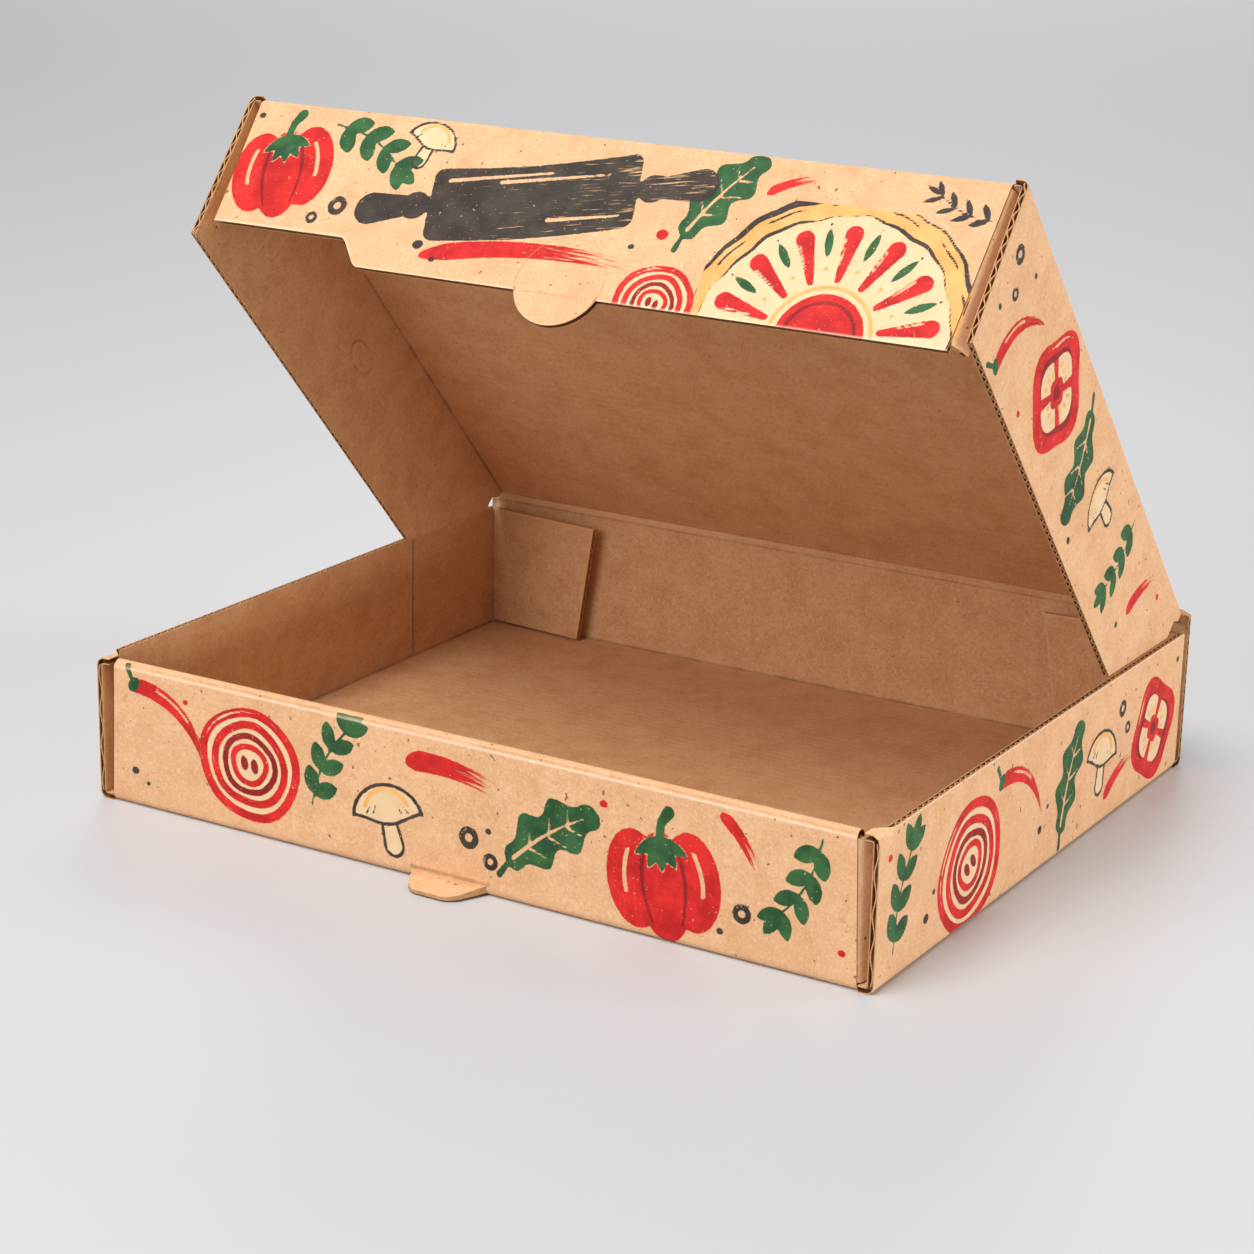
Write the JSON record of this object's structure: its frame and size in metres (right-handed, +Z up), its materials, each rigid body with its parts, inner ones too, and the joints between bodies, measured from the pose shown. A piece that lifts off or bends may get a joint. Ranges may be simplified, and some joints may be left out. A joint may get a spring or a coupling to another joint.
{
  "type": "pizza box",
  "caption": "Shallow folded corrugated board box with a hinged lid standing open, a rolled-over front wall, tucked rear corner flaps, a thumb tab and a front lock tongue.",
  "frame": {"origin": "on the underside of the tray, at the middle of its width and depth", "axes": "+Z up, -Y out of the front wall, +X to the right seen from the front; the hinge fold runs along X"},
  "size_m": [0.322, 0.2772, 0.2506],
  "materials": {
    "kraft_board": "matt uncoated kraft liner with flat printed motifs"
  },
  "bodies": {
    "tray": {"tray": "kraft_board"},
    "lid": {"lid": "kraft_board"}
  },
  "joints": [
    {"name": "lid_hinge", "type": "hinge", "parent": "tray", "child": "lid", "pos_m": [0, 0.1308, 0.061], "axis": [-1, 0, 0], "range_deg": [-44.2, 132]}
  ]
}
